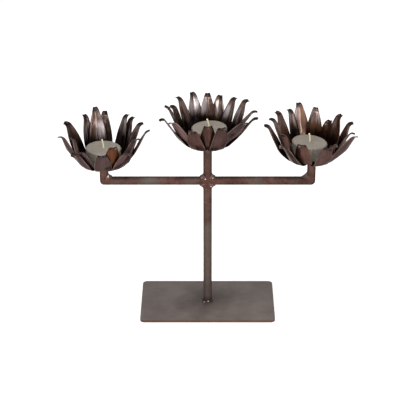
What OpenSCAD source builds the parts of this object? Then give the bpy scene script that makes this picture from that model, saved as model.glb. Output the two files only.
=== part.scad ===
// Iron lotus candelabra: a flat plate, a rod stem, two rod arms and three flowers of sheet petals.
// Each flower holds a tealight in a clear cup.
// The origin is the centre of the plate's underside, X runs along the arms, Y goes to the back and Z is up.

/* [Base plate] */
// length of the plate along the arms
plate_length = 152.4; // [120:0.1:200]
// width of the plate from front to back
plate_width = 88.9; // [60:0.1:140]
// thickness of the plate
plate_thickness = 3.2; // [2:0.1:8]
// radius of the plate's corners
plate_corner = 5; // [1:0.5:20]

/* [Rods] */
// diameter of the stem
stem_diameter = 9.5; // [7:0.1:14]
// diameter of the arms and risers, a little under the stem's
arm_diameter = 9.4; // [6:0.1:13]
// height of the arms' axis over the plate
arm_height = 153; // [90:1:220]
// distance from the stem's axis to each riser's axis
arm_reach = 114.3; // [112:0.1:150]

/* [Flower places] */
// height of the centre flower's underside over the arms' axis
center_rise = 44.3; // [25:0.1:80]
// height of the left flower's underside over the arms' axis
left_rise = 20.1; // [14:0.1:60]
// height of the right flower's underside over the arms' axis
right_rise = 26.3; // [14:0.1:60]
// how far the right flower sits inward of its riser's axis
right_shift = 1.8; // [0:0.1:2]

/* [Petal discs] */
// thickness of the sheet that the discs are cut from
sheet = 0.9; // [0.6:0.1:1.2]
// radius of the flat centre that the petals spring from
hub_radius = 8; // [7.5:0.1:9]
// radius of the hole in a disc's centre, which the plug weld fills
hub_hole = 3; // [2:0.1:4]
// half the width of an outer petal at its widest
outer_half = 8.8; // [7:0.1:9]
// half the width of an inner petal at its widest
inner_half = 8.5; // [6.5:0.1:8.6]
// angle that each half of a petal is folded up from its crease
fold_angle = 13; // [4:1:16]
// how far an ordinary petal reaches beyond the tealight's seat
petal_reach = 48.5; // [44:0.5:56]
// length of the hooked tip of a petal
tip_length = 6.5; // [6:0.5:12]
// half the width of a petal's blunt end
tip_half = 2.3; // [1:0.1:3.5]

/* [Tealights] */
// diameter of the plastic cup
tealight_diameter = 39.4; // [36:0.1:41]
// height of the wax top over the cup's underside
tealight_height = 16.7; // [14:0.1:24]
// thickness of the cup's wall and floor
cup_wall = 0.5; // [0.3:0.1:0.9]
// how much lower the cup's rim is than the wax top
rim_drop = 1.2; // [0.5:0.1:3]
// diameter of the wick
wick_diameter = 1.8; // [1.2:0.1:2.4]
// length of the wick over the wax
wick_length = 10; // [5:0.5:14]
// angle that the wick's tip leans to the left
wick_lean = 24; // [5:1:40]
// diameter of the wick's metal foot
tab_diameter = 12; // [8:0.5:18]
// clear space between a tealight's foot and the petals
seat_gap = 0.4; // [0.3:0.05:1]
// radius of the cup's round foot
cup_round = 2; // [1:0.1:4]

/* [Welds] */
// leg of the fillets where the arms cross the stem and where the left arm turns up
fillet_leg = 4; // [2:0.5:5]
// leg of the fillet where the right arm turns up, which has more weld in it
right_leg = 6; // [2:0.5:6]
// radius of the beads round the stem's foot and under the flowers
bead = 1.8; // [1:0.1:3]

/* [Hidden] */
$fn = 96;

// heights and places worked out from the sizes above
arm_z = plate_thickness + arm_height;
left_z = arm_z + left_rise;
center_z = arm_z + center_rise;
right_z = arm_z + right_rise;
left_x = -arm_reach;
right_x = arm_reach - right_shift;
stem_r = stem_diameter / 2;
arm_r = arm_diameter / 2;
edge_gap = 0.3;
// the arm stops this far short of the riser's axis, inside the riser's round foot
arm_stop = 1;
// the petals turn up round here, so that the tealight stands on them
floor_r = tealight_diameter / 2 + edge_gap;
tab_thickness = 0.3;
neck_height = 3;
neck_wall = 0.6;
wax_r = tealight_diameter / 2 - cup_wall;
shoulder = 1.5;
fillet_share = 0.94;
wick_bend = wick_length / wick_lean * 180 / PI;

// places of the three tealights: how far to the right of the flower's axis, and how far the top leans right
left_set = [0, 2];
center_set = [2.2, -2];
right_set = [-2.5, 5];

// shape of the two rings of petals
petals = 8;
slot_half = 2.6;
root_half = hub_radius * tan(180 / petals - slot_half);
crease = 0.25;
swing_length = 22;
twist_length = 28;
blunt = 2.0;
hook_room = 1.1;
strips = 4;
fold_start = 6;
outer_flat = 6;
outer_dish = 1;
outer_turn = 9;
outer_rise = 27;
outer_widest = 15;
inner_dish = 3;
inner_turn = 6;
inner_rise = 21;
inner_widest = 14;
// where the rows of points lie, from the seat's edge outward and along the tip
floor_stops = [-fold_start, -1, 2.5, 6, 10, 17];
tip_stops = [1, 0.72, 0.46, 0.22, 0];
// a ring is its height on the flower, its bends as [distance from the centre, slope], the distance where
// the petals stand at their own lean, its half width and the distance where it is widest
outer_bends = [[floor_r - outer_flat, 0], [floor_r - outer_dish, 4], [floor_r + outer_turn, 45]];
inner_bends = [[floor_r - inner_dish, 5], [floor_r + inner_turn, 48]];
outer_ring = [0, outer_bends, floor_r + outer_rise, outer_half, floor_r + outer_widest];
inner_ring = [sheet, inner_bends, floor_r + inner_rise, inner_half, floor_r + inner_widest];

// Each petal was bent by hand, so each has its own row, anticlockwise from the right as seen from above:
// [swing sideways, share of the reach, lean, curl of the tip, twist, share of the full width]
left_outer = [
    [1, 1.07, 63, 50, 0, 0.9], [0, 1.08, 75, 80, -8, 1], [0, 1.12, 82, 90, 0, 1],
    [-13, 1.09, 82, 90, 0, 0.75], [9, 0.98, 68, 90, 30, 0.92], [4, 0.81, 65, 130, 0, 0.95],
    [3, 0.77, 84, 160, 0, 1.1], [-3, 0.86, 60, 130, -18, 1]];
left_inner = [
    [-2, 1.02, 67, 80, 8, 0.95], [-13, 1.04, 71, 80, -10, 0.88], [-8, 1.15, 76, 70, 0, 1.2],
    [3, 1.03, 70, 80, -20, 1.1], [3, 0.88, 80, 80, 5, 0.85], [-9, 0.8, 60, 60, 2, 0.85],
    [-1, 0.9, 72, 140, 0, 1.1], [-6, 0.97, 66, 80, -12, 1]];
center_outer = [
    [2, 1.13, 72, 100, 10, 0.99], [4, 1.03, 76, 90, 0, 1.05], [0, 1.11, 76, 90, 0, 1.1],
    [0, 0.99, 78, 110, -8, 0.94], [-5, 1.04, 58, 100, 0, 0.9], [-1, 0.89, 72, 130, 0, 1.1],
    [0, 0.95, 78, 140, 0, 1.1], [8, 1.06, 54, 60, 6, 0.9]];
center_inner = [
    [0, 1.04, 54, 80, 0, 0.95], [3, 1, 66, 90, -4, 1], [0, 1.01, 84, 90, 0, 1.12],
    [2, 1.03, 68, 80, 2, 0.89], [-4, 1.03, 66, 50, 0, 0.95], [-9, 0.97, 58, 80, 18, 1],
    [1, 0.86, 82, 160, 0, 1.1], [3, 1.1, 52, 65, -20, 1.12]];
right_outer = [
    [-3, 1.03, 73, 80, 12, 0.95], [-3, 0.84, 82, 90, 0, 1.1], [1, 1.2, 73, 90, 0, 1.18],
    [-6, 1.12, 74, 80, -8, 1], [-7, 1.12, 66, 70, -18, 1], [-9, 1, 56, 120, -8, 0.9],
    [9, 0.87, 70, 130, -14, 1], [-1, 1.13, 57, 60, -20, 1]];
right_inner = [
    [-6, 1.01, 80, 80, 12, 1.05], [-2, 1.04, 86, 90, 0, 1.15], [-5, 1.03, 70, 90, 0, 0.78],
    [-7, 1.03, 67, 90, -4, 1], [-3, 0.92, 74, 80, 14, 1], [-10, 0.84, 70, 130, 0, 1.1],
    [0, 0.79, 68, 120, -2, 0.85], [-6, 0.93, 61, 90, -10, 0.9]];
// direction of the first outer and the first inner petal
left_turn = [0, 22.5];
center_turn = [22.5, 0];
right_turn = [13, 35.5];
// height of the inner petals' middle where the edge of the cup's foot comes down
foot_rise = middle(bends(inner_ring, left_inner[0]), tealight_diameter / 2 - cup_round)[1];

iron = [0.36, 0.27, 0.24];
plate_brown = [0.42, 0.38, 0.35];
petal_brown = [0.40, 0.27, 0.23];
brass_gold = [0.66, 0.52, 0.32];
clear_plastic = [0.85, 0.85, 0.83];
wax_cream = [0.82, 0.79, 0.74];
wick_cream = [0.93, 0.90, 0.76];
tin = [0.72, 0.72, 0.74];

// eases from 0 to 1
function ease(x) = let (c = min(max(x, 0), 1)) c * c * (3 - 2 * c);

// travel outward and up along a stretch whose slope turns evenly from a to b
function stretch(length, a, b) = abs(b - a) < 0.01
    ? [length * cos(a), length * sin(a)]
    : length * 180 / PI / (b - a) * [sin(b) - sin(a), cos(a) - cos(b)];

// distance along the sheet where a petal ends
function reach(row) = floor_r + row[1] * petal_reach;

// distance along the sheet from which a petal stands at its own lean
function stand(ring, row) = min(ring[2], reach(row) - hook_room * tip_length);

// all the bends of one petal, from the flat centre to the point
function bends(ring, row) = let (tip = reach(row), hook = tip - tip_length)
    concat([[hub_radius, 0]], ring[1], [[stand(ring, row), row[2]], [hook, row[2]], [tip, row[2] - row[3]]]);

// radius, height and slope of a petal's middle at a distance along the sheet
function middle(b, s, i = 0, at = [hub_radius, 0]) =
    let (run = min(s, b[i + 1][0]) - b[i][0],
        slope = b[i][1] + (b[i + 1][1] - b[i][1]) * run / (b[i + 1][0] - b[i][0]),
        next = at + stretch(run, b[i][1], slope))
    s <= b[i + 1][0] || i == len(b) - 2 ? [next[0], next[1], slope] : middle(b, s, i + 1, next);

// half the width of a petal at a distance along the sheet
function half_width(ring, row, s) =
    let (full = ring[3] * row[5],
        out = (s - hub_radius) / (ring[4] - hub_radius),
        past = min((s - ring[4]) / (reach(row) - ring[4]), 1))
    s < ring[4]
        ? root_half + (full - root_half) * sin(90 * out)
        : tip_half + (full - tip_half) * (1 - pow(past, blunt));

// a point on the underside of a petal: s along the sheet, v across it from -1 to 1
function petal_point(ring, row, b, turn, s, v) =
    let (at = middle(b, s),
        w = half_width(ring, row, s),
        fold = fold_angle * ease((s - floor_r + fold_start) / swing_length),
        lift = w * tan(fold) * (sqrt(v * v + crease * crease) - crease),
        across = w * v * cos(fold),
        twist = row[4] * ease((s - floor_r) / twist_length),
        side = across * cos(twist) - lift * sin(twist),
        up = across * sin(twist) + lift * cos(twist),
        a = turn + row[0] * ease((s - hub_radius) / swing_length),
        r = at[0] - up * sin(at[2]))
    [r * cos(a) - side * sin(a), r * sin(a) + side * cos(a), ring[0] + at[1] + up * cos(at[2])];

// the way out of the sheet, upward at the centre and inward on the wall
function petal_normal(ring, row, b, turn, s, v, d = 0.01) =
    let (n = cross(petal_point(ring, row, b, turn, s + d, v) - petal_point(ring, row, b, turn, s - d, v),
        petal_point(ring, row, b, turn, s, v + d) - petal_point(ring, row, b, turn, s, v - d))) n / norm(n);

// distances along a petal where its rows of points are
function stops(ring, row) =
    [hub_radius, for (t = floor_stops) floor_r + t, stand(ring, row),
        for (t = tip_stops) reach(row) - t * tip_length];

// two triangles for a face of four corners
function halves(a, b, c, d) = [[a, b, c], [a, c, d]];

// one star of sheet with all its petals, a single closed skin
module petal_disc(ring, turn, rows) {
    n = len(rows);
    across = strips + 1;
    along = len(stops(ring, rows[0]));
    count = n * along * across;
    around = n * across;
    spots = [for (p = [0:n - 1]) for (s = stops(ring, rows[p])) for (j = [0:strips])
        [p, s, 2 * j / strips - 1]];
    under = [for (q = spots) let (row = rows[q[0]])
        petal_point(ring, row, bends(ring, row), turn + q[0] * 360 / n, q[1], q[2])];
    top = [for (i = [0:count - 1]) let (q = spots[i], row = rows[q[0]])
        under[i] + sheet * petal_normal(ring, row, bends(ring, row), turn + q[0] * 360 / n, q[1], q[2])];
    hole = [for (z = [ring[0], ring[0] + sheet]) for (m = [0:around - 1])
        let (a = turn + (m - strips / 2) * 360 / around) [hub_hole * cos(a), hub_hole * sin(a), z]];
    skin = [for (p = [0:n - 1]) for (k = [0:along - 2]) for (j = [0:strips - 1])
        let (a = (p * along + k) * across + j, b = a + 1, c = b + across, d = a + across)
        each concat(halves(a + count, b + count, c + count, d + count), halves(d, c, b, a))];
    edges = [for (p = [0:n - 1]) for (k = [0:along - 2])
        let (a = (p * along + k) * across, b = a + across, c = a + strips, d = c + across)
        each concat(halves(a + count, b + count, b, a), halves(d + count, c + count, c, d))];
    points = [for (p = [0:n - 1]) for (j = [0:strips - 1])
        let (a = ((p + 1) * along - 1) * across + j) each halves(a + count, a + 1 + count, a + 1, a)];
    middle_faces = [for (m = [0:around - 1])
        let (o = (m + 1) % around, e = floor(m / across) * along * across + m % across,
            f = floor(o / across) * along * across + o % across, g = 2 * count + m, h = 2 * count + o)
        each concat(halves(g + around, h + around, f + count, e + count), halves(e, f, h, g),
            halves(h + around, g + around, g, h))];
    slots = [for (p = [0:n - 1])
        let (a = p * along * across + strips, b = ((p + 1) % n) * along * across)
        each halves(a + count, b + count, b, a)];
    polyhedron(concat(under, top, hole), concat(skin, edges, points, middle_faces, slots), convexity = 10);
}

// a rod of full length standing on z = 0
module rod(radius, height) {
    cylinder(r = radius, h = height);
}

// a rod lying along X from the stem's axis outward, to the left for side -1 and to the right for side 1
module lying_rod(radius, length, side) {
    translate([0, 0, arm_z]) rotate([0, side * 90, 0]) rod(radius, length);
}

// a riser with a round foot, standing where the arm ends
module riser_shape(x, height) {
    translate([x, 0, arm_z]) {
        sphere(r = arm_r);
        rod(arm_r, height);
    }
}

module arm(side, rise) {
    difference() {
        lying_rod(arm_r, arm_reach - arm_stop, side);
        rod(stem_r, center_z);
        riser_shape(side * arm_reach, rise);
    }
}

// a hollow fillet that fills the corner between two crossing rods, toward +X and +Z
module corner_fillet(radius, leg) {
    far = radius + leg;
    half = radius * fillet_share;
    intersection() {
        rotate([90, 0, 0]) linear_extrude(2 * half, center = true) difference() {
            square(far);
            translate([far, far]) circle(r = leg);
        }
        rotate([0, 45, 0]) cylinder(r = half, h = 2 * far);
    }
}

// a rounded bead that runs round a rod's foot on z = 0
module foot_bead(radius) {
    rotate_extrude() translate([radius, 0]) intersection() {
        circle(r = bead);
        square(bead);
    }
}

module plug(x, z) {
    translate([x, 0, z]) cylinder(r = hub_hole * cos(180 / (petals * (strips + 1))), h = 2 * sheet);
}

// puts a tealight's parts where it stands in its flower
module seat(x, z, set) {
    dip = tealight_diameter / 2 * sin(abs(set[1]));
    translate([x + set[0], 0, z + 2 * sheet + foot_rise + seat_gap + dip]) rotate([0, set[1], 0]) children();
}

// half the section of a round pan with a rounded foot
module pan_section(radius, height, round) {
    square([radius - round, height]);
    translate([0, round]) square([radius, height - round]);
    translate([radius - round, round]) circle(r = round);
}

module cup() {
    color(clear_plastic, 0.5) rotate_extrude() difference() {
        pan_section(tealight_diameter / 2, tealight_height - rim_drop, cup_round);
        translate([0, cup_wall]) pan_section(wax_r, tealight_height, cup_round - cup_wall);
    }
}

module wax() {
    neck = wick_diameter / 2 + neck_wall;
    color(wax_cream) difference() {
        rotate_extrude() translate([0, cup_wall]) {
            pan_section(wax_r, tealight_height - cup_wall - shoulder, cup_round - cup_wall);
            square([wax_r - shoulder, tealight_height - cup_wall]);
            translate([wax_r - shoulder, tealight_height - cup_wall - shoulder]) circle(r = shoulder);
        }
        translate([0, 0, cup_wall]) cylinder(d = tab_diameter, h = tab_thickness);
        translate([0, 0, cup_wall]) cylinder(r = neck, h = neck_height);
        translate([0, 0, cup_wall]) cylinder(d = wick_diameter, h = tealight_height);
    }
}

module wick_tab() {
    neck = wick_diameter / 2 + neck_wall;
    color(tin) translate([0, 0, cup_wall]) difference() {
        union() {
            cylinder(d = tab_diameter, h = tab_thickness);
            cylinder(r = neck, h = neck_height);
        }
        cylinder(d = wick_diameter, h = tealight_height);
    }
}

// the wick stands straight in the wax and bends evenly to the left over it
module wick() {
    color(wick_cream) {
        translate([0, 0, cup_wall]) cylinder(d = wick_diameter, h = tealight_height - cup_wall);
        translate([-wick_bend, 0, tealight_height]) rotate([90, 0, 0]) rotate_extrude(angle = wick_lean)
            translate([wick_bend, 0]) circle(d = wick_diameter);
    }
}

module base_plate() {
    x = plate_length / 2 - plate_corner;
    y = plate_width / 2 - plate_corner;
    color(plate_brown) linear_extrude(plate_thickness) {
        square([2 * x, plate_width], center = true);
        square([plate_length, 2 * y], center = true);
        for (i = [-1, 1], j = [-1, 1]) translate([i * x, j * y]) circle(r = plate_corner);
    }
}

module stem() {
    color(iron) translate([0, 0, plate_thickness]) rod(stem_r, center_z - plate_thickness);
}

module left_arm() {
    color(iron) arm(-1, left_rise);
}

module right_arm() {
    color(iron) arm(1, right_rise);
}

module left_riser() {
    color(iron) riser_shape(-arm_reach, left_rise);
}

module right_riser() {
    color(iron) riser_shape(arm_reach, right_rise);
}

module base_weld() {
    color(brass_gold) translate([0, 0, plate_thickness]) foot_bead(stem_r);
}

module cross_weld() {
    color(brass_gold) difference() {
        translate([0, 0, arm_z]) for (a = [0:90:270]) rotate([0, a, 0]) corner_fillet(stem_r, fillet_leg);
        rod(stem_r, center_z);
        for (side = [-1, 1]) lying_rod(arm_r, arm_reach, side);
    }
}

module left_elbow_weld() {
    color(brass_gold) difference() {
        translate([-arm_reach, 0, arm_z]) corner_fillet(arm_r, fillet_leg);
        lying_rod(arm_r, arm_reach, -1);
        riser_shape(-arm_reach, left_rise);
    }
}

module right_elbow_weld() {
    color(brass_gold) difference() {
        translate([arm_reach, 0, arm_z]) rotate([0, 0, 180]) corner_fillet(arm_r, right_leg);
        lying_rod(arm_r, arm_reach, 1);
        riser_shape(arm_reach, right_rise);
    }
}

// the bead hangs from the flower's underside round the rod
module flower_weld(x, z, radius) {
    color(brass_gold) translate([x, 0, z]) mirror([0, 0, 1]) foot_bead(radius);
}

module left_flower_weld() {
    flower_weld(left_x, left_z, arm_r);
}

module center_flower_weld() {
    flower_weld(0, center_z, stem_r);
}

module right_flower_weld() {
    flower_weld(arm_reach, right_z, arm_r);
}

module left_outer_petals() {
    color(petal_brown) translate([left_x, 0, left_z]) petal_disc(outer_ring, left_turn[0], left_outer);
}

module left_inner_petals() {
    color(petal_brown) translate([left_x, 0, left_z]) petal_disc(inner_ring, left_turn[1], left_inner);
}

module left_plug_weld() {
    color(brass_gold) plug(left_x, left_z);
}

module center_outer_petals() {
    color(petal_brown) translate([0, 0, center_z]) petal_disc(outer_ring, center_turn[0], center_outer);
}

module center_inner_petals() {
    color(petal_brown) translate([0, 0, center_z]) petal_disc(inner_ring, center_turn[1], center_inner);
}

module center_plug_weld() {
    color(brass_gold) plug(0, center_z);
}

module right_outer_petals() {
    color(petal_brown) translate([right_x, 0, right_z]) petal_disc(outer_ring, right_turn[0], right_outer);
}

module right_inner_petals() {
    color(petal_brown) translate([right_x, 0, right_z]) petal_disc(inner_ring, right_turn[1], right_inner);
}

module right_plug_weld() {
    color(brass_gold) plug(right_x, right_z);
}

module left_cup() {
    seat(left_x, left_z, left_set) cup();
}

module left_wax() {
    seat(left_x, left_z, left_set) wax();
}

module left_wick() {
    seat(left_x, left_z, left_set) wick();
}

module left_wick_tab() {
    seat(left_x, left_z, left_set) wick_tab();
}

module center_cup() {
    seat(0, center_z, center_set) cup();
}

module center_wax() {
    seat(0, center_z, center_set) wax();
}

module center_wick() {
    seat(0, center_z, center_set) wick();
}

module center_wick_tab() {
    seat(0, center_z, center_set) wick_tab();
}

module right_cup() {
    seat(right_x, right_z, right_set) cup();
}

module right_wax() {
    seat(right_x, right_z, right_set) wax();
}

module right_wick() {
    seat(right_x, right_z, right_set) wick();
}

module right_wick_tab() {
    seat(right_x, right_z, right_set) wick_tab();
}

base_plate();
stem();
left_arm();
right_arm();
left_riser();
right_riser();
base_weld();
cross_weld();
left_elbow_weld();
right_elbow_weld();
left_flower_weld();
left_outer_petals();
left_inner_petals();
left_plug_weld();
center_flower_weld();
center_outer_petals();
center_inner_petals();
center_plug_weld();
right_flower_weld();
right_outer_petals();
right_inner_petals();
right_plug_weld();
left_cup();
left_wax();
left_wick();
left_wick_tab();
center_cup();
center_wax();
center_wick();
center_wick_tab();
right_cup();
right_wax();
right_wick();
right_wick_tab();
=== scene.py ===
import math
from collections import namedtuple

import bmesh
import bpy
import numpy as np
from mathutils import Matrix, Vector


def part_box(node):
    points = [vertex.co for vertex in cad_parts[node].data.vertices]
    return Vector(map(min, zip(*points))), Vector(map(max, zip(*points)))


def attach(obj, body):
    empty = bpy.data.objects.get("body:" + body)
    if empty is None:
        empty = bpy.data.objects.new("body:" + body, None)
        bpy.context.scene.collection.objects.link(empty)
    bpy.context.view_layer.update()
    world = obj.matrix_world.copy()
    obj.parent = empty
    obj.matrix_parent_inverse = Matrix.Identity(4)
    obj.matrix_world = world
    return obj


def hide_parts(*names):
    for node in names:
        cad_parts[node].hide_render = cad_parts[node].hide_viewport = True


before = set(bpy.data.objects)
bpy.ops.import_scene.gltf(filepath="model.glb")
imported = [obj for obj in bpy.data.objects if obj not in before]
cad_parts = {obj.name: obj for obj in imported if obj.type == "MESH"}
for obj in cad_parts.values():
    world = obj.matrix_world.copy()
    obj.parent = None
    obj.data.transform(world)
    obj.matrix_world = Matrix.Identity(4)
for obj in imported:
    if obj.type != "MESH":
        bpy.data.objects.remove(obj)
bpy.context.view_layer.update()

MM = 0.001
SIDES = ("left", "center", "right")

# The petals' own sizes in millimetres and degrees, as the frame's petal discs have them.
SHEET = 0.9
HUB_RADIUS = 8.0
HUB_HOLE = 3.0
FLOOR = 20.0
PETAL_REACH = 48.5
TIP_LENGTH = 6.5
TIP_HALF = 2.3
PETALS = 8
SLOT_HALF = 2.6
ROOT_HALF = HUB_RADIUS * math.tan(math.radians(180 / PETALS - SLOT_HALF))
FOLD_ANGLE = 13.0
FOLD_START = 6.0
SWING_LENGTH = 22.0
TWIST_LENGTH = 28.0
BLUNT = 2.0
CREASE = 0.14
# The least distance from where a petal stands at its own lean to its tip.
STANDING = 1.1 * TIP_LENGTH

# The finer form that only the looks have: the bevel down each edge, the points across a petal between its
# bevels, the rows of points on its floor, wall and tip, and how far inside the floor's edge its wall starts.
EDGE = 0.24
ACROSS = 13
FLOOR_ROWS = 4
WALL_ROWS = 30
TIP_ROWS = 17
FLOOR_RIM = 4
# The shallow hollows in the sheet: their depth, how far past the floor's edge they start, and over what
# distance they grow.
DENT_DEPTH = 0.13
DENT_START = 4
DENT_GROWTH = 10
SHORT_WAVE = 3.1
LONG_WAVE = 5.3
# A tip that curls further than this is rolled over. It gets less of the tips' painted shade. Instead, painted
# shade darkens its colour and dulls its coat by a share, from some millimetres before its bend and growing
# over some more.
ROLLED_CURL = 115
ROLLED_START = 2
ROLLED_FADE = 3
ROLLED_SHADE = 0.5
# How far the painted highlight goes down and up the wall from where it is brightest, and over what length it
# fades, as shares of the wall. The crease stays browner, and so does the rim, over shares of the half width.
HIGHLIGHT_DOWN, HIGHLIGHT_DOWN_FADE = 0.3, 0.22
HIGHLIGHT_UP, HIGHLIGHT_UP_FADE = 0.26, 0.2
CREASE_BROWN = 0.55
CREASE_WIDTH = 0.1
RIM_WIDTH = 0.2
# Faces that meet at a larger angle than this, in degrees, show a sharp edge.
SHARP_ANGLE = 50

# A ring is its height on the flower, its bends as (distance from the centre, slope), the distance where the
# petals stand at their own lean, their half width and the distance where they are widest.
Ring = namedtuple("Ring", "height bends stand half widest")
RINGS = {
    "outer": Ring(0.0, ((FLOOR - 6, 0), (FLOOR - 1, 4), (FLOOR + 9, 45)), FLOOR + 27, 8.8, FLOOR + 15),
    "inner": Ring(SHEET, ((FLOOR - 3, 5), (FLOOR + 6, 48)), FLOOR + 21, 8.5, FLOOR + 14),
}

# Each petal was bent by hand, so each has its own row: its swing sideways, share of the reach, lean, curl of
# the tip, twist and share of the full width.
Row = namedtuple("Row", "swing share lean curl twist width")


def star(turn, *petals):
    """One sheet of petals: the first one's direction, and their rows, anticlockwise as seen from above."""
    return turn, [Row(*petal) for petal in petals]


STARS = {
    ("left", "outer"): star(
        0.0,
        (1, 1.07, 63, 50, 0, 0.9), (0, 1.08, 75, 80, -8, 1), (0, 1.12, 82, 90, 0, 1),
        (-13, 1.09, 82, 90, 0, 0.75), (9, 0.98, 68, 90, 30, 0.92), (4, 0.81, 65, 130, 0, 0.95),
        (3, 0.77, 84, 160, 0, 1.1), (-3, 0.86, 60, 130, -18, 1),
    ),
    ("left", "inner"): star(
        22.5,
        (-2, 1.02, 67, 80, 8, 0.95), (-13, 1.04, 71, 80, -10, 0.88), (-8, 1.15, 76, 70, 0, 1.2),
        (3, 1.03, 70, 80, -20, 1.1), (3, 0.88, 80, 80, 5, 0.85), (-9, 0.8, 60, 60, 2, 0.85),
        (-1, 0.9, 72, 140, 0, 1.1), (-6, 0.97, 66, 80, -12, 1),
    ),
    ("center", "outer"): star(
        22.5,
        (2, 1.13, 72, 100, 10, 0.99), (4, 1.03, 76, 90, 0, 1.05), (0, 1.11, 76, 90, 0, 1.1),
        (0, 0.99, 78, 110, -8, 0.94), (-5, 1.04, 58, 100, 0, 0.9), (-1, 0.89, 72, 130, 0, 1.1),
        (0, 0.95, 78, 140, 0, 1.1), (8, 1.06, 54, 60, 6, 0.9),
    ),
    ("center", "inner"): star(
        0.0,
        (0, 1.04, 54, 80, 0, 0.95), (3, 1, 66, 90, -4, 1), (0, 1.01, 84, 90, 0, 1.12),
        (2, 1.03, 68, 80, 2, 0.89), (-4, 1.03, 66, 50, 0, 0.95), (-9, 0.97, 58, 80, 18, 1),
        (1, 0.86, 82, 160, 0, 1.1), (3, 1.1, 52, 65, -20, 1.12),
    ),
    ("right", "outer"): star(
        13.0,
        (-3, 1.03, 73, 80, 12, 0.95), (-3, 0.84, 82, 90, 0, 1.1), (1, 1.2, 73, 90, 0, 1.18),
        (-6, 1.12, 74, 80, -8, 1), (-7, 1.12, 66, 70, -18, 1), (-9, 1, 56, 120, -8, 0.9),
        (9, 0.87, 70, 130, -14, 1), (-1, 1.13, 57, 60, -20, 1),
    ),
    ("right", "inner"): star(
        35.5,
        (-6, 1.01, 80, 80, 12, 1.05), (-2, 1.04, 86, 90, 0, 1.15), (-5, 1.03, 70, 90, 0, 0.78),
        (-7, 1.03, 67, 90, -4, 1), (-3, 0.92, 74, 80, 14, 1), (-10, 0.84, 70, 130, 0, 1.1),
        (0, 0.79, 68, 120, -2, 0.85), (-6, 0.93, 61, 90, -10, 0.9),
    ),
}
# How coppery each petal is, from 0, mauve brown, to 1, orange brown.
WARMTH = {
    ("left", "outer"): (0.3, 0.2, 0.15, 0.2, 0.15, 0.1, 0.1, 0.1),
    ("left", "inner"): (0.35, 0.2, 0.2, 0.3, 0.3, 0.1, 1.0, 0.1),
    ("center", "outer"): (0.4, 0.3, 0.2, 0.35, 0.2, 0.3, 0.2, 0.1),
    ("center", "inner"): (0.45, 0.3, 0.4, 0.4, 0.1, 0.15, 0.35, 0.1),
    ("right", "outer"): (0.5, 0.5, 0.9, 0.6, 0.2, 0.3, 0.2, 0.1),
    ("right", "inner"): (0.6, 0.8, 0.5, 0.6, 0.3, 0.35, 0.5, 0.4),
}
# Petals with a painted highlight on their inner face: how bright it is on the anticlockwise half and on the
# other half, and how far up the wall, as a share of it, it is brightest.
PAINTED_HIGHLIGHTS = {
    ("left", "inner", 1): (0.15, 0.85, 0.72), ("left", "inner", 2): (0.05, 0.85, 0.54),
    ("left", "outer", 2): (0.2, 0.0, 0.75), ("left", "outer", 3): (1.0, 0.0, 0.64),
    ("center", "outer", 2): (0.8, 0.95, 0.7), ("center", "inner", 2): (0.9, 0.15, 0.72),
    ("center", "outer", 1): (0.5, 0.45, 0.72), ("center", "inner", 1): (0.95, 0.1, 0.6),
    ("center", "outer", 0): (0.65, 0.1, 0.6), ("right", "outer", 2): (0.4, 0.1, 0.85),
    ("right", "inner", 1): (0.4, 0.45, 0.84), ("right", "inner", 2): (0.7, 0.0, 0.85),
    ("right", "inner", 0): (0.3, 0.0, 0.8),
}
# Petals whose painted bowl shade ends higher or lower than on the rest, in millimetres.
BOWL_SHADE_SHIFT = {
    ("left", "inner", 0): 4, ("left", "inner", 1): 6, ("left", "outer", 1): 5,
    ("left", "outer", 2): 3, ("left", "inner", 2): -5, ("center", "outer", 2): 4,
    ("right", "outer", 2): -24, ("right", "outer", 3): -8, ("right", "inner", 3): -6,
    ("right", "inner", 2): 3, ("right", "inner", 0): -4,
}
# Petals whose colour and coat are scaled darker or lighter; the scales above 1 are painted light on petals
# that stand in shade.
COLOUR_AND_COAT_SCALE = {
    ("left", "inner", 3): 0.5, ("left", "inner", 4): 0.8, ("left", "outer", 3): 0.7,
    ("left", "inner", 6): 0.7, ("center", "outer", 5): 0.85, ("center", "outer", 6): 0.8,
    ("center", "inner", 6): 0.7, ("right", "outer", 2): 0.95, ("right", "inner", 2): 0.5,
    ("right", "outer", 3): 0.75, ("right", "inner", 0): 0.75, ("center", "inner", 5): 1.7,
    ("left", "outer", 7): 1.35,
}
# The joints of the bars, in metres, where the welding's heat left the patina reddish brown.
JOINTS = ((0, 0, 0.1562), (-0.1143, 0, 0.1562), (0.1125, 0, 0.1562))
# The foot of the stem, round which the plate is darker.
STEM_FOOT = (0, 0, 0)

# How the tealights stand: millimetres to the right of the flower's axis, and degrees that they lean right.
SETS = {"left": (0.0, 2.0), "center": (2.2, -2.0), "right": (-2.5, 5.0)}
TEALIGHT_RADIUS = 19.7
TEALIGHT_HEIGHT = 16.7
SEAT_GAP = 0.4
CUP_WALL = 0.5
CUP_ROUND = 2.0
RIM_DROP = 1.2
WAX_GAP = 0.05
WAX_SHOULDER = 1.5
WAX_DISH = 0.25
WAX_RISE = 0.1
WICK_RADIUS = 0.9
WICK_LENGTH = 10.0
WICK_LEAN = math.radians(24)
WICK_ROOT = 2
WICK_ROWS = 60
WICK_POINTS = 30
# The strands: how deep the grooves between them are, as a share of the radius, and how much they turn in
# a millimetre, in radians.
STRAND_GROOVE = 0.14
STRAND_TWIST = 1.3

# The photograph's viewpoint, in metres and degrees, its lens in millimetres, and how far it sees, in metres.
EYE = (0.00045, -1.3826, 0.8176)
LOOKS_DOWN = 26.7
LENS = 119.94
SENSOR = 36
FARTHEST = 20
# The studio: the world's level of light, the floor's size, and the light of its own that the floor shows.
SKY_LEVEL = 0.45
GROUND_SIZE = 2.6
GROUND_GLOW = 0.62
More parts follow.
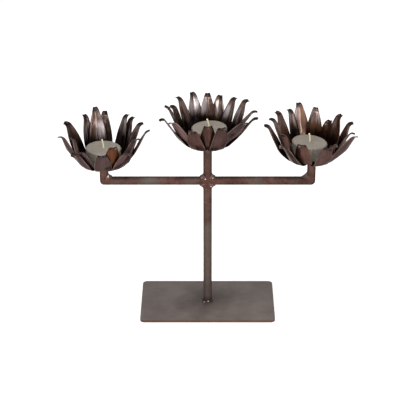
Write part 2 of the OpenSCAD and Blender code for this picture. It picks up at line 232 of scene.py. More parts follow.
# The lamps: name, place, the point that it faces, width, height and watts.
LAMPS = (
    ("top_light", (0, -0.25, 1.3), (0, 0, 0.2), 1.0, 0.8, 10),
    ("left_light", (-0.80, -1.50, 0.42), (0, 0, 0.22), 0.8, 0.75, 13),
    ("right_light", (0.95, -1.40, 0.42), (0, 0, 0.22), 0.6, 0.75, 8),
    ("front_light", (-0.1, -1.7, 1.3), (0, 0, 0.15), 0.7, 0.7, 7),
)


def ease(x):
    """A smooth step from 0 to 1."""
    c = np.clip(x, 0, 1)
    return c * c * (3 - 2 * c)


def reach(row):
    """The length of a petal along the sheet, from the flower's centre to its tip."""
    return FLOOR + row.share * PETAL_REACH


def bends(ring, row):
    """All the bends of one petal, from the flat centre to the point."""
    tip = reach(row)
    stand = min(ring.stand, tip - STANDING)
    hook = ((tip - TIP_LENGTH, row.lean), (tip, row.lean - row.curl))
    return ((HUB_RADIUS, 0), *ring.bends, (stand, row.lean), *hook)


def middle(stations, s):
    """Radius, height and slope of a petal's middle at distances s along the sheet."""
    r = np.full_like(s, HUB_RADIUS)
    z = np.zeros_like(s)
    slope = np.zeros_like(s)
    for (start, a), (end, b) in zip(stations, stations[1:]):
        run = np.clip(s, start, end) - start
        turned = np.radians(a + (b - a) * run / (end - start))
        first = math.radians(a)
        if a == b:
            r += run * math.cos(first)
            z += run * math.sin(first)
        else:
            bend = math.radians(b - a) / (end - start)
            r += (np.sin(turned) - math.sin(first)) / bend
            z += (math.cos(first) - np.cos(turned)) / bend
        slope = np.where(s >= start, turned, slope)
    return r, z, slope


def half_width(ring, row, s):
    """Half the width of a petal at distances s: it swells to its widest place, then narrows to its tip."""
    full = ring.half * row.width
    out = np.sin(0.5 * np.pi * (s - HUB_RADIUS) / (ring.widest - HUB_RADIUS))
    past = np.clip((s - ring.widest) / (reach(row) - ring.widest), 0, 1)
    swelling = ROOT_HALF + (full - ROOT_HALF) * out
    narrowing = TIP_HALF + (full - TIP_HALF) * (1 - past**BLUNT)
    return np.where(s < ring.widest, swelling, narrowing)


def dents(s, v, turn):
    """The shallow hollows that bending by hand leaves in the sheet, in millimetres."""
    growth = ease((s - FLOOR - DENT_START) / DENT_GROWTH)
    short = np.sin(s / SHORT_WAVE + turn) * np.cos(2.6 * v + turn / 7)
    long = np.sin(s / LONG_WAVE - 2.2 * v + 3 * turn)
    return DENT_DEPTH * growth * (short + 0.7 * long)


def petal_point(ring, row, turn, s, v):
    """Points on the underside of a petal: s along the sheet, v across it from -1 to 1."""
    r, z, slope = middle(bends(ring, row), s)
    w = half_width(ring, row, s)
    fold = math.radians(FOLD_ANGLE) * ease((s - FLOOR + FOLD_START) / SWING_LENGTH)
    lift = w * np.tan(fold) * (np.sqrt(v * v + CREASE * CREASE) - CREASE) + dents(s, v, turn)
    across = w * v * np.cos(fold)
    twist = math.radians(row.twist) * ease((s - FLOOR) / TWIST_LENGTH)
    side = across * np.cos(twist) - lift * np.sin(twist)
    up = across * np.sin(twist) + lift * np.cos(twist)
    a = np.radians(turn + row.swing * ease((s - HUB_RADIUS) / SWING_LENGTH))
    r = r - up * np.sin(slope)
    x = r * np.cos(a) - side * np.sin(a)
    y = r * np.sin(a) + side * np.cos(a)
    return np.stack([x, y, ring.height + z + up * np.cos(slope)], -1)


def petal_normal(ring, row, turn, s, v, step=0.01):
    """The way out of the sheet, upward at the centre and inward on the wall."""
    along = petal_point(ring, row, turn, s + step, v) - petal_point(ring, row, turn, s - step, v)
    over = petal_point(ring, row, turn, s, v + step) - petal_point(ring, row, turn, s, v - step)
    n = np.cross(along, over)
    return n / np.linalg.norm(n, axis=-1, keepdims=True)


def petal_stations(row):
    """Distances along a petal where its rows of points are, closer together in the bends."""
    tip = reach(row)
    floor = np.linspace(HUB_RADIUS, FLOOR - FLOOR_RIM, FLOOR_ROWS, endpoint=False)
    wall = np.linspace(FLOOR - FLOOR_RIM, tip - TIP_LENGTH, WALL_ROWS, endpoint=False)
    hook = np.linspace(tip - TIP_LENGTH, tip, TIP_ROWS)
    return np.concatenate([floor, wall, hook])


def petal_skins(ring, row, turn):
    """The underside and the top of one petal as grids of points, with a narrow bevel down each edge."""
    s = petal_stations(row)[:, None]
    inset = EDGE / half_width(ring, row, s)
    inner = np.linspace(-1, 1, ACROSS)[None, :] * (1 - inset)
    v = np.concatenate([np.full_like(s, -1), inner, np.full_like(s, 1)], 1)
    s = np.broadcast_to(s, v.shape)
    under = petal_point(ring, row, turn, s, v)
    out = petal_normal(ring, row, turn, s, v)
    low = np.zeros_like(v)
    low[:, [0, -1]] = EDGE
    low[-1] = EDGE
    return under + out * low[..., None], under + out * (SHEET - low)[..., None], s, v


def highlight_share(row, s, v, first, second, centre):
    """How much painted highlight a petal has: its halves differ, both fade along it, and its crease stays
    brown.
    """
    up = (s - FLOOR) / (reach(row) - FLOOR)
    halves = second + (first - second) * ease(2 * v + 0.5)
    low = ease((up - centre + HIGHLIGHT_DOWN) / HIGHLIGHT_DOWN_FADE)
    high = ease((centre + HIGHLIGHT_UP - up) / HIGHLIGHT_UP_FADE)
    crease = 1 - CREASE_BROWN * np.exp(-((v / CREASE_WIDTH) ** 2))
    rim = ease((1.02 - np.abs(v)) / RIM_WIDTH)
    return halves * (low * high) * crease * rim


def petal_looks(petal, row, seed, s, v):
    """What the material reads at each point: place and seed, tone, painted highlight, shade and colour scale.
    """
    side, kind, number = petal
    rolled = row.curl > ROLLED_CURL
    from_tip = reach(row) - s + (TIP_LENGTH if rolled else 0)
    # Painted shade on a rolled hook, which also dulls its coat.
    hook_shade = (ROLLED_SHADE if rolled else 0) * ease((TIP_LENGTH + ROLLED_START - reach(row) + s) / ROLLED_FADE)
    colour_and_coat = COLOUR_AND_COAT_SCALE.get(petal, 1) * (1 - hook_shade)
    # Painted highlights on some petals' inner faces.
    painted_highlight = highlight_share(row, s, v, *PAINTED_HIGHLIGHTS.get(petal, (0, 0, 0.5)))
    place = np.stack([s, v, np.full_like(s, seed + number)], -1)
    tone = np.stack([from_tip, np.full_like(s, WARMTH[side, kind][number])], -1)
    return place, tone, np.stack([painted_highlight, np.full_like(s, BOWL_SHADE_SHIFT.get(petal, 0)), colour_and_coat], -1)


def on_both_skins(values, around, at_hole):
    """The same values for the undersides and the tops of the petals, then one all round the hub's hole."""
    flat = np.array(values).reshape(-1, len(at_hole))
    return np.concatenate([flat, flat, np.tile(np.array(at_hole, float), (2 * around, 1))])


def star_faces(along, wide):
    """The faces of a star whose petals are grids of points: one closed skin, with a hole in its hub."""
    count = PETALS * along * wide
    around = PETALS * wide
    faces = []
    for petal in range(PETALS):
        at = np.arange(along * wide).reshape(along, wide) + petal * along * wide
        a, b, c, d = (q.ravel() for q in (at[:-1, :-1], at[:-1, 1:], at[1:, 1:], at[1:, :-1]))
        faces += np.stack([a, b, c, d], -1).tolist()
        faces += (np.stack([d, c, b, a], -1) + count).tolist()
        for k in range(along - 1):
            a, b = at[k, 0], at[k + 1, 0]
            faces.append([a, b, b + count, a + count])
            a, b = at[k, -1], at[k + 1, -1]
            faces.append([b, a, a + count, b + count])
        for j in range(wide - 1):
            a, b = at[-1, j], at[-1, j + 1]
            faces.append([a, b, b + count, a + count])
        a, b = at[0, -1], ((petal + 1) % PETALS) * along * wide
        faces.append([b + count, a + count, a, b])
    for here in range(around):
        beside = (here + 1) % around
        root, next_root = (at // wide * along * wide + at % wide for at in (here, beside))
        rim, next_rim = 2 * count + here, 2 * count + beside
        faces.append([rim, next_rim, next_root, root])
        faces.append([next_rim + around, rim + around, root + count, next_root + count])
        faces.append([next_rim, rim, rim + around, next_rim + around])
    return faces


def hub(side):
    """Where a flower's centre is in the frame: millimetres to the right, and up."""
    low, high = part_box(f"{side}_plug_weld")
    return (low.x + high.x) / 2 / MM, low.z / MM


def petal_star(side, kind):
    """One star of sheet with all its petals as a single closed skin."""
    ring = RINGS[kind]
    turn, petals = STARS[side, kind]
    seed = PETALS * list(STARS).index((side, kind))
    unders, tops, looks = [], [], []
    for number, row in enumerate(petals):
        under, top, s, v = petal_skins(ring, row, turn + number * 360 / PETALS)
        unders.append(under)
        tops.append(top)
        looks.append(petal_looks((side, kind, number), row, seed, s, v))
    places, tones, painted_lights = zip(*looks)
    along, wide = unders[0].shape[:2]
    count = PETALS * along * wide
    around = PETALS * wide
    rim = np.radians(turn + (np.arange(around) - (wide - 1) / 2) * 360 / around)
    circle = [HUB_HOLE * np.cos(rim), HUB_HOLE * np.sin(rim)]
    hole = [np.stack([*circle, np.full(around, ring.height + h)], -1) for h in (0, SHEET)]
    points = np.concatenate([np.array(unders).reshape(-1, 3), np.array(tops).reshape(-1, 3), *hole])
    inside = np.concatenate([np.zeros(count), np.ones(count), np.zeros(around), np.ones(around)])
    tone = on_both_skins(tones, around, (PETAL_REACH, 0))
    layers = {
        "sheet_place": on_both_skins(places, around, (0, 0, 0)),
        "sheet_tone": np.concatenate([tone, inside[:, None]], 1),
        # Painted highlight, shift of the painted bowl shade, and colour scale with painted light and shade.
        "sheet_painted_light": on_both_skins(painted_lights, around, (0, 0, 1)),
    }
    x, z = hub(side)
    points = (points + np.array((x, 0, z))) * MM
    return piece(f"{side}_{kind}_petal_star", points, star_faces(along, wide), PETAL_IRON, "holder", layers)


def piece(name, points, faces, material, body, layers=None):
    """A new mesh that rides on a body, with its faces turned outward."""
    mesh = bpy.data.meshes.new(name)
    mesh.from_pydata([tuple(p) for p in points], [], faces)
    for label, values in (layers or {}).items():
        layer = mesh.attributes.new(label, "FLOAT_VECTOR", "POINT")
        layer.data.foreach_set("vector", np.asarray(values, np.float32).ravel())
    shell = bmesh.new()
    shell.from_mesh(mesh)
    bmesh.ops.recalc_face_normals(shell, faces=shell.faces)
    shell.to_mesh(mesh)
    shell.free()
    mesh.polygons.foreach_set("use_smooth", [True] * len(mesh.polygons))
    mesh.set_sharp_from_angle(angle=math.radians(SHARP_ANGLE))
    thing = bpy.data.objects.new(name, mesh)
    bpy.context.scene.collection.objects.link(thing)
    mesh.materials.append(material)
    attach(thing, body)
    return thing


def tube(count, around):
    """The points of a tube's rings as a grid, the same grid a step further round, and the faces between."""
    at = np.arange(count * around).reshape(count, around)
    step = np.roll(at, -1, 1)
    return at, step, np.stack([at[:-1], step[:-1], step[1:], at[1:]], -1).reshape(-1, 4).tolist()


def lathe(profile, steps=96):
    """Points and faces of a closed form turned round Z from a profile that starts and ends on the axis."""
    ring = np.linspace(0, 2 * np.pi, steps, endpoint=False)
    r, z = np.array(profile[1:-1]).T
    r, z = r[:, None], z[:, None]
    body = np.stack([r * np.cos(ring), r * np.sin(ring), np.repeat(z, steps, 1)], -1)
    points = np.concatenate([body.reshape(-1, 3), [[0, 0, profile[0][1]], [0, 0, profile[-1][1]]]])
    at, step, faces = tube(len(r), steps)
    low, high = len(points) - 2, len(points) - 1
    faces += [[low, step[0, i], at[0, i]] for i in range(steps)]
    faces += [[high, at[-1, i], step[-1, i]] for i in range(steps)]
    return points, faces


def arc(x, z, radius, start, end, steps=7):
    """Points of a profile's round stretch, in degrees from the outward direction."""
    turn = np.radians(np.linspace(start, end, steps))
    return [(x + radius * math.cos(t), z + radius * math.sin(t)) for t in turn]


class Shader:
    """A material's node tree, with short calls for the nodes that the finishes share."""

    def __init__(self, name):
        self.material = bpy.data.materials.new(name)
        self.material.use_nodes = True
        self.nodes = self.material.node_tree.nodes
        self.links = self.material.node_tree.links
        self.surface = self.nodes["Principled BSDF"]
        geometry = self.node("NewGeometry")
        self.place = geometry.outputs["Position"]
        self.facing = geometry.outputs["Normal"]

    def node(self, kind, operation=None):
        """A new node of a kind, such as Math, and the operation that it does."""
        made = self.nodes.new(f"ShaderNode{kind}")
        if operation:
            made.operation = operation
        return made

    def link(self, value, node, socket):
        """Links an output to one of a node's inputs."""
        self.links.new(value, node.inputs[socket])

    def feed(self, value, node, socket):
        """Links an output to an input, or sets that input to a number or a colour."""
        if hasattr(value, "links"):
            self.link(value, node, socket)
        else:
            node.inputs[socket].default_value = (*value, 1) if isinstance(value, tuple) else value

    def set(self, **sockets):
        """Sets numbers and colours of the surface by the names of its sockets, with _ for a space."""
        for name, value in sockets.items():
            self.feed(value, self.surface, name.replace("_", " ").title().replace("Ior", "IOR"))

    def noise(self, scale, detail, roughness, place=None):
        """Noise from 0 to 1, mostly from 0.3 to 0.7, of so many spots to a metre."""
        node = self.node("TexNoise")
        node.inputs["Scale"].default_value = scale
        node.inputs["Detail"].default_value = detail
        node.inputs["Roughness"].default_value = roughness
        self.link(place or self.place, node, "Vector")
        return node.outputs["Fac"]

    def stretched(self, place, scale):
        """A place with each of its axes scaled by itself."""
        node = self.node("VectorMath", "MULTIPLY")
        self.link(place, node, 0)
        node.inputs[1].default_value = scale
        return node.outputs[0]

    def ramp(self, value, *stops):
        """A colour for each value, from stops of a value and a colour."""
        node = self.node("ValToRGB")
        ends = node.color_ramp.elements
        while len(ends) < len(stops):
            ends.new(0.5)
        for end, (where, colour) in zip(ends, stops):
            end.position = where
            end.color = (*colour, 1)
        self.link(value, node, "Fac")
        return node.outputs["Color"]

    def band(self, value, low, high, to_low=0.0, to_high=1.0):
        """A value between two limits, spread between two others and cut off beyond them."""
        node = self.node("MapRange")
        node.inputs["From Min"].default_value = low
        node.inputs["From Max"].default_value = high
        node.inputs["To Min"].default_value = to_low
        node.inputs["To Max"].default_value = to_high
        self.link(value, node, "Value")
        return node.outputs["Result"]

    def spread(self, noise, low, high):
        """A noise's usual range spread between two limits."""
        return self.band(noise, 0.3, 0.7, low, high)

    def fade(self, share, none, full):
        """A number that goes from one to another as a share goes from 0 to 1."""
        return self.band(share, 0.0, 1.0, none, full)

    def distance(self, point):
        """How far from a point of the part the surface is, in metres."""
        gap = self.node("VectorMath", "DISTANCE")
        self.link(self.place, gap, 0)
        gap.inputs[1].default_value = point
        return gap.outputs["Value"]

    def mix(self, share, first, second, blend="MIX"):
        """Two colours mixed by a share."""
        node = self.node("Mix")
        node.data_type = "RGBA"
        node.blend_type = blend
        for value, socket in ((share, 0), (first, 6), (second, 7)):
            self.feed(value, node, socket)
        return node.outputs[2]

    def tint(self, share, colour, by):
        """A colour multiplied by another one, by a share."""
        return self.mix(share, colour, by, "MULTIPLY")

    def math(self, kind, first, second):
        """One step of arithmetic on outputs or numbers."""
        node = self.node("Math", kind)
        self.feed(first, node, 0)
        self.feed(second, node, 1)
        return node.outputs[0]

    def times(self, first, *others):
        """The product of several outputs or numbers."""
        for other in others:
            first = self.math("MULTIPLY", first, other)
        return first

    def attribute(self, name):
        """The three values that a mesh holds at each point under a name."""
        node = self.node("Attribute")
        node.attribute_name = name
        return node.outputs["Vector"]

    def parts(self, vector):
        """The three parts of a vector."""
        node = self.node("SeparateXYZ")
        self.link(vector, node, 0)
        return node.outputs

    def bump(self, height, distance, strength, after=None):
        """A bump of so many metres, laid over another one."""
        node = self.node("Bump")
        node.inputs["Distance"].default_value = distance
        node.inputs["Strength"].default_value = strength
        self.link(height, node, "Height")
        if after is not None:
            self.link(after, node, "Normal")
        return node.outputs["Normal"]

    def finish(self, colour, roughness=None, normal=None, metallic=None):
        """Links what varies over the surface, and gives back the material."""
        varied = {"Base Color": colour, "Roughness": roughness, "Normal": normal, "Metallic": metallic}
        for socket, value in varied.items():
            if value is not None:
                self.link(value, self.surface, socket)
        return self.material


def petal_iron():
    """Lacquered brown sheet with drawn streaks, painted shade in the bowl, on tips and inner edges, and
    painted highlights.
    """
    m = Shader("petal_iron")
    place = m.attribute("sheet_place")
    along, across, _ = m.parts(place)
    from_tip, warmth, inside = m.parts(m.attribute("sheet_tone"))
    painted_highlight, shade_shift, colour_and_coat = m.parts(m.attribute("sheet_painted_light"))
    streaks = m.noise(1.0, 5, 0.62, m.stretched(place, (0.03, 2.4, 3.7)))
    scratches = m.noise(1.0, 3, 0.6, m.stretched(place, (0.09, 14.0, 5.3)))
    blotches = m.noise(95, 4, 0.6)

    # The brown, with its streaks, blotches and scratches.
    cool = m.mix(inside, (0.050, 0.032, 0.033), (0.050, 0.027, 0.022))
    warm = m.mix(inside, (0.130, 0.044, 0.016), (0.165, 0.072, 0.036))
    brown = m.mix(warmth, cool, warm)
    drawn = m.tint(m.band(streaks, 0.40, 0.68, 0.0, 0.75), brown, (1.8, 1.7, 1.7))
    patched = m.tint(m.band(blotches, 0.60, 0.30, 0.0, 0.7), drawn, (0.45, 0.40, 0.38))
    scuffed = m.tint(m.band(scratches, 0.55, 0.75, 0.0, 0.5), patched, (0.62, 0.58, 0.56))

    # The painted highlights on the inner faces' halves, ragged along the streaks.
    ragged = m.math("ADD", m.spread(streaks, -0.28, 0.28), m.spread(scratches, 0.12, -0.12))
    ragged_highlight = m.math("ADD", painted_highlight, ragged)
    highlight_mask = m.times(m.band(ragged_highlight, 0.15, 0.9), m.band(painted_highlight, 0.0, 0.15), inside)
    highlighted = m.mix(highlight_mask, scuffed, (0.50, 0.43, 0.42))

    # The edges: painted shade on them inside the flower, and a painted highlight on them outside it.
    edge = m.band(m.math("ABSOLUTE", across, 0), 0.86, 0.99, 0.0, 0.75)
    edge_shaded = m.tint(m.times(edge, inside), highlighted, (0.25, 0.22, 0.20))
    edge_highlight = m.times(m.band(edge, 0.25, 0.75), m.band(scratches, 0.42, 0.6), m.fade(inside, 0.55, 0.0))
    wear_and_painted_edges = m.mix(edge_highlight, edge_shaded, (0.34, 0.27, 0.25))

    # Painted shade on the tips, and painted shade in the bowl that ends raggedly up the wall.
    tip = m.times(m.band(from_tip, 8.0, 4.0), inside)
    tip_shaded = m.tint(tip, wear_and_painted_edges, (0.22, 0.20, 0.19))
    height = m.math("SUBTRACT", m.math("ADD", along, m.spread(streaks, -7.0, 7.0)), shade_shift)
    bowl_shade = m.times(m.band(height, 58.0, 40.0), inside)
    # Each petal's colour scale: painted light on some shaded petals, painted shade on rolled hooks.
    toned = m.tint(1.0, tip_shaded, colour_and_coat)
    bowl_shaded = m.tint(bowl_shade, toned, (0.07, 0.07, 0.075))

    rough = m.math("ADD", m.spread(streaks, 0.22, 0.34), m.fade(bowl_shade, 0.0, 0.25))
    coat = m.times(m.fade(inside, 0.12, 0.75), m.fade(bowl_shade, 1.0, 0.08), colour_and_coat, m.fade(tip, 1.0, 0.25))
    m.link(coat, m.surface, "Coat Weight")
    normal = m.bump(blotches, 0.0005, 0.3, m.bump(scratches, 0.0002, 0.3, m.bump(streaks, 0.0004, 0.4)))
    m.set(metallic=0.8, coat_roughness=0.14, coat_ior=1.7)
    m.set(specular_ior_level=0.1, specular_tint=(0.4, 0.35, 0.33))
    return m.finish(bowl_shaded, rough, normal)


def rod_brown(m, redness):
    """The bars' reddish brown with olive grey patches and painted shade at the foot, as its patches and its
    colour.
    """
    patches = m.noise(60, 5, 0.65)
    wear_and_painted_edges = m.noise(24, 3, 0.5)
    flecks = m.noise(190, 4, 0.62)
    rusty = m.ramp(
        patches,
        (0.32, (0.050, 0.024, 0.019)),
        (0.55, (0.094, 0.048, 0.039)),
        (0.75, (0.125, 0.071, 0.057)),
    )
    flecked = m.tint(m.band(flecks, 0.52, 0.68, 0.0, 0.7), rusty, (0.55, 0.48, 0.45))
    mottled = m.tint(m.band(flecks, 0.46, 0.32, 0.0, 0.7), flecked, (1.45, 1.38, 1.25))
    height = m.parts(m.place)[2]
    faded = m.math("ADD", m.band(wear_and_painted_edges, 0.50, 0.66, 0.0, redness), m.band(height, 0.14, 0.06, 0.0, 0.62))
    for joint in JOINTS:
        heated = m.band(m.distance(joint), 0.009, 0.020, 1.0, 0.0)
        faded = m.times(faded, m.math("SUBTRACT", 1.0, heated))
    olive = m.mix(m.math("MINIMUM", faded, 0.9), mottled, (0.102, 0.087, 0.076))
    # Painted shade: near black at the foot, where the stem and its weld meet the plate.
    foot = m.band(height, 0.012, 0.005, 0.0, 0.8)
    return patches, m.mix(foot, olive, (0.022, 0.018, 0.014))


def rod_iron():
    """Reddish brown bar with olive grey patches and mill marks."""
    m = Shader("rod_iron")
    patches, brown = rod_brown(m, 0.85)
    pits = m.noise(700, 4, 0.6)
    normal = m.bump(pits, 0.0003, 0.35, m.bump(patches, 0.0006, 0.3))
    m.set(metallic=0.3, ior=1.0, specular_ior_level=0.0, specular_tint=(0.0, 0.0, 0.0))
    return m.finish(brown, m.spread(patches, 0.36, 0.5), normal)


def plate_iron():
    """Grey brown flat bar, brushed and waxed, darker round the stem, with painted shade that darkens its
    sides and turns them redder.
    """
    m = Shader("plate_iron")
    clouds = m.noise(24, 5, 0.62)
    brushed = m.noise(1.0, 4, 0.6, m.stretched(m.place, (60, 900, 60)))
    fine = m.noise(800, 3, 0.6)
    grey = m.ramp(
        clouds,
        (0.3, (0.102, 0.078, 0.068)),
        (0.52, (0.148, 0.121, 0.107)),
        (0.72, (0.19, 0.160, 0.138)),
    )
    scuffed = m.mix(m.band(brushed, 0.4, 0.7, 0.0, 0.3), grey, (0.22, 0.185, 0.165))
    # Darker round the stem's foot.
    ragged = m.math("ADD", m.distance(STEM_FOOT), m.spread(clouds, -0.01, 0.01))
    near_stem = m.band(ragged, 0.042, 0.008, 0.0, 0.75)
    darkened_near_stem = m.mix(near_stem, scuffed, (0.055, 0.040, 0.036))
    # Painted shade on the sides: darker and redder by their facing.
    upward = m.parts(m.facing)[2]
    side_shaded = m.tint(m.band(upward, 0.7, 0.3), darkened_near_stem, (0.62, 0.42, 0.34))
    normal = m.bump(fine, 0.0002, 0.3, m.bump(brushed, 0.0002, 0.25))
    m.set(metallic=0.35, specular_ior_level=0.3)
    return m.finish(side_shaded, m.spread(clouds, 0.5, 0.62), normal)


def braze():
    """Welds patinated like the bars, lumpy, with a few small bright metal spots as painted glints."""
    m = Shader("braze")
    patches, brown = rod_brown(m, 0.3)
    spots = m.noise(330, 2, 0.5)
    lumps = m.noise(260, 3, 0.5)
    # Painted glints: a few small bright metal spots.
    glint_spots = m.band(spots, 0.66, 0.71)
    colour = m.mix(glint_spots, brown, (0.85, 0.74, 0.66))
    m.set(coat_weight=0.15, coat_roughness=0.15)
    m.set(specular_ior_level=0.2, specular_tint=(0.3, 0.27, 0.25))
    normal = m.bump(lumps, 0.0012, 0.8)
    return m.finish(colour, m.fade(glint_spots, 0.4, 0.25), normal, m.fade(glint_spots, 0.5, 1.0))


def clear_plastic():
    """Thin clear cup that shows the wax through it, with faint moulding waves."""
    m = Shader("clear_plastic")
    waves = m.noise(120, 2, 0.5)
    m.set(alpha=0.16, ior=1.45, coat_weight=0.3, coat_roughness=0.08)
    colour = m.ramp(waves, (0.3, (0.48, 0.43, 0.37)), (0.7, (0.58, 0.53, 0.46)))
    return m.finish(colour, m.spread(waves, 0.12, 0.25), m.bump(waves, 0.0002, 0.2))


def wax():
    """Beige wax, mottled and a little translucent."""
    m = Shader("wax")
    cloudy = m.noise(160, 4, 0.6)
    grain = m.noise(1100, 3, 0.6)
    colour = m.ramp(cloudy, (0.3, (0.200, 0.172, 0.138)), (0.7, (0.275, 0.243, 0.203)))
    speckled = m.mix(m.band(grain, 0.35, 0.7, 0.0, 0.4), colour, (0.34, 0.305, 0.26))
    m.set(subsurface_weight=0.25, subsurface_scale=0.003)
    m.surface.inputs["Subsurface Radius"].default_value = (1.0, 0.8, 0.6)
    return m.finish(speckled, m.spread(grain, 0.40, 0.58), m.bump(grain, 0.0002, 0.35))


def wick_cotton():
    """Waxed cotton, fuzzy and cream coloured."""
    m = Shader("wick")
    fuzz = m.noise(2200, 3, 0.6)
    colour = m.ramp(fuzz, (0.3, (0.62, 0.53, 0.32)), (0.7, (0.86, 0.80, 0.58)))
    m.set(sheen_weight=0.2, roughness=0.6)
    return m.finish(colour, normal=m.bump(fuzz, 0.0002, 0.4))


def tin():
    """Bright pressed sheet of the wick's foot."""
    m = Shader("tin")
    marks = m.noise(500, 3, 0.5)
    colour = m.ramp(marks, (0.3, (0.5, 0.5, 0.52)), (0.7, (0.7, 0.7, 0.72)))
    m.set(metallic=1.0)
    return m.finish(colour, m.spread(marks, 0.25, 0.4))


PETAL_IRON = petal_iron()
ROD_IRON = rod_iron()
PLATE_IRON = plate_iron()
BRAZE = braze()
CLEAR_PLASTIC = clear_plastic()
WAX = wax()
WICK_COTTON = wick_cotton()
TIN = tin()


def dress(material, *nodes):
    """Gives nodes of the frame their material."""
    for node in nodes:
        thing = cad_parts[node]
        thing.data.materials.clear()
        thing.data.materials.append(material)


def flower(side):
    """Both stars of petals of one flower."""
    for kind in RINGS:
        disc = petal_star(side, kind)
        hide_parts(f"{side}_{kind}_petals")


def foot_rise():
    """How much higher the floor of the petals is under a tealight's foot than at the hub."""
    _, petals = STARS["left", "inner"]
    heights = middle(bends(RINGS["inner"], petals[0]), np.array([TEALIGHT_RADIUS - CUP_ROUND]))[1]
    return float(heights[0])


def seat(side, points):
    """Puts points in millimetres, given round a tealight's own axis, where that tealight stands."""
    shift, lean = SETS[side]
    x, z = hub(side)
    dip = TEALIGHT_RADIUS * math.sin(math.radians(abs(lean)))
    foot = Vector((x + shift, 0, z + 2 * SHEET + foot_rise() + SEAT_GAP + dip))
    turn = np.array(Matrix.Rotation(math.radians(lean), 3, "Y"))
    return (points @ turn.T + np.array(foot)) * MM


def cup_profile():
    """The cup, from the middle of its underside up its wall, over its lip and down to its floor."""
    rim = TEALIGHT_HEIGHT - RIM_DROP
    lip = CUP_WALL / 2
    turn = TEALIGHT_RADIUS - CUP_ROUND
    outer = [(0, 0), (turn, 0), *arc(turn, CUP_ROUND, CUP_ROUND, -80, 0)]
    outer += [(TEALIGHT_RADIUS, rim / 3), (TEALIGHT_RADIUS, rim * 2 / 3)]
    over = arc(TEALIGHT_RADIUS - lip, rim - lip, lip, 0, 180)
    inner = [(TEALIGHT_RADIUS - CUP_WALL, rim / 2), *arc(turn, CUP_ROUND, CUP_ROUND - CUP_WALL, 0, -90)]
    return outer + over + inner + [(0, CUP_WALL)]


def wax_profile():
    """The wax block: a rounded foot and shoulder, a slight dish in the top and a small rise at the wick."""
    radius = TEALIGHT_RADIUS - CUP_WALL - WAX_GAP
    bottom = CUP_WALL + WAX_GAP
    foot = CUP_ROUND - CUP_WALL
    top = TEALIGHT_HEIGHT
    side = [(0, bottom), *arc(radius - foot, bottom + foot, foot, -90, 0)]
    side += [(radius, top * k / 6) for k in (2, 3, 4, 5)]
    side += arc(radius - WAX_SHOULDER, top - WAX_SHOULDER, WAX_SHOULDER, 0, 80)
    dish = [(radius * k, top - WAX_DISH * math.sin(math.pi * k)) for k in (0.88, 0.75, 0.6, 0.45, 0.3, 0.2)]
    return side + dish + [(1.9, top - 0.1), (1.2, top + WAX_RISE), (0, top + WAX_RISE)]


def wick_mesh():
    """Three twisted strands along the wick's bend, closed at the top."""
    bend = WICK_LENGTH / WICK_LEAN
    run = np.linspace(-WICK_ROOT, WICK_LENGTH, WICK_ROWS)
    turn = np.clip(run, 0, None) / bend
    height = TEALIGHT_HEIGHT + bend * np.sin(turn) + np.minimum(run, 0)
    centre = np.stack([bend * np.cos(turn) - bend, 0 * run, height], -1)
    across = np.stack([np.cos(turn), 0 * run, np.sin(turn)], -1)
    ring = np.linspace(0, 2 * np.pi, WICK_POINTS, endpoint=False)
    groove = np.abs(np.cos(1.5 * ring[None, :] - STRAND_TWIST * run[:, None]))
    lobes = 1 - STRAND_GROOVE + STRAND_GROOVE * groove
    close = np.sqrt(np.clip((WICK_LENGTH - run) / 0.5, 0.04, 1))
    radius = WICK_RADIUS * lobes * close[:, None]
    sideways = np.cos(ring)[None, :, None] * across[:, None]
    back = np.sin(ring)[None, :, None] * np.array([0, 1, 0])
    points = centre[:, None] + radius[..., None] * (sideways + back)
    at, _, faces = tube(WICK_ROWS, WICK_POINTS)
    faces += [at[0].tolist(), at[-1].tolist()[::-1]]
    return points.reshape(-1, 3), faces


def tealight(side):
    """The cup, wax and wick of one tealight, on their own body."""
    body = f"{side}_tealight"
    for part, (points, faces), material, slot in (
        ("cup", lathe(cup_profile()), CLEAR_PLASTIC, "clear_plastic"),
        ("wax", lathe(wax_profile()), WAX, "wax"),
        ("wick", wick_mesh(), WICK_COTTON, "wick"),
    ):
        thing = piece(f"{side}_{part}_form", seat(side, points), faces, material, body)
        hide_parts(f"{side}_{part}")
    dress(TIN, f"{side}_wick_tab")


def backdrop():
    """A pale floor under a white world."""
    bpy.ops.mesh.primitive_plane_add(size=GROUND_SIZE)
    floor = bpy.context.object
    floor.name = "floor"
    m = Shader("floor")
    m.set(base_color=(0.8, 0.8, 0.8), roughness=1.0, specular_ior_level=0.0)
    glow = m.node("Emission")
    glow.inputs["Strength"].default_value = GROUND_GLOW
    both = m.node("AddShader")
    path = m.node("LightPath")
    choice = m.node("MixShader")
    seen = m.math("MAXIMUM", path.outputs["Is Camera Ray"], path.outputs["Is Glossy Ray"])
    m.link(seen, choice, 0)
    m.link(m.surface.outputs[0], choice, 1)
    m.link(m.surface.outputs[0], both, 0)
    m.link(glow.outputs[0], both, 1)
    m.link(both.outputs[0], choice, 2)
    m.link(choice.outputs[0], m.nodes["Material Output"], "Surface")
    floor.data.materials.append(m.material)


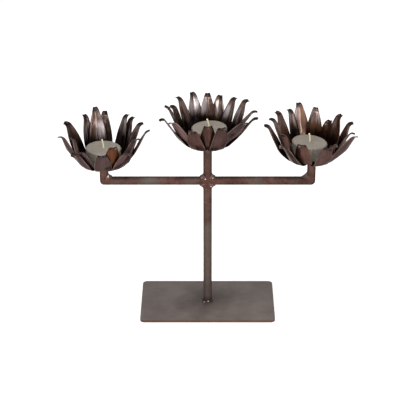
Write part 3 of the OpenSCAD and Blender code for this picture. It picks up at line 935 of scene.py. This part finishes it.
def sky():
    """The world: white under a darker ceiling to the camera and reflections, a plain level elsewhere."""
    world = bpy.data.worlds.new("studio")
    bpy.context.scene.world = world
    world.use_nodes = True
    nodes, links = world.node_tree.nodes, world.node_tree.links
    background = nodes["Background"]
    path = nodes.new("ShaderNodeLightPath")
    seen = path.outputs["Is Camera Ray"]
    for ray in ("Is Glossy Ray", "Is Transmission Ray"):
        either = nodes.new("ShaderNodeMath")
        either.operation = "MAXIMUM"
        links.new(seen, either.inputs[0])
        links.new(path.outputs[ray], either.inputs[1])
        seen = either.outputs[0]
    level = nodes.new("ShaderNodeMapRange")
    level.inputs["To Min"].default_value = SKY_LEVEL
    level.inputs["To Max"].default_value = 1.0
    links.new(seen, level.inputs["Value"])
    links.new(level.outputs["Result"], background.inputs["Strength"])
    way = nodes.new("ShaderNodeTexCoord").outputs["Generated"]
    split = nodes.new("ShaderNodeSeparateXYZ")
    links.new(way, split.inputs[0])
    rise = nodes.new("ShaderNodeValToRGB")
    for end, (height, grey) in zip(rise.color_ramp.elements, ((0.5, 1.0), (0.85, 0.3))):
        end.position = height
        end.color = (grey, grey, grey, 1)
    links.new(split.outputs["Z"], rise.inputs["Fac"])
    links.new(rise.outputs["Color"], background.inputs["Color"])


def soft_box(name, place, aim, width, height, watts):
    """A lamp with a soft rectangular face, turned to a point."""
    light = bpy.data.lights.new(name, "AREA")
    light.shape = "RECTANGLE"
    light.size = width
    light.size_y = height
    light.energy = watts
    lamp = bpy.data.objects.new(name, light)
    bpy.context.scene.collection.objects.link(lamp)
    lamp.location = place
    lamp.rotation_euler = (Vector(aim) - Vector(place)).to_track_quat("-Z", "Y").to_euler()


def camera():
    """The photograph's viewpoint: a long lens, a little above the flowers."""
    data = bpy.data.cameras.new("camera")
    data.lens = LENS
    data.sensor_width = SENSOR
    data.clip_end = FARTHEST
    eye = bpy.data.objects.new("camera", data)
    bpy.context.scene.collection.objects.link(eye)
    eye.location = EYE
    eye.rotation_euler = (math.radians(90 - LOOKS_DOWN), 0, 0)
    bpy.context.scene.camera = eye


for side in SIDES:
    flower(side)
    tealight(side)
    dress(BRAZE, f"{side}_flower_weld", f"{side}_plug_weld")
dress(ROD_IRON, "stem", "left_arm", "right_arm", "left_riser", "right_riser")
dress(BRAZE, "base_weld", "cross_weld", "left_elbow_weld", "right_elbow_weld")
dress(PLATE_IRON, "base_plate")

camera()
backdrop()
sky()
for lamp in LAMPS:
    soft_box(*lamp)
bpy.context.scene.view_settings.view_transform = "Standard"
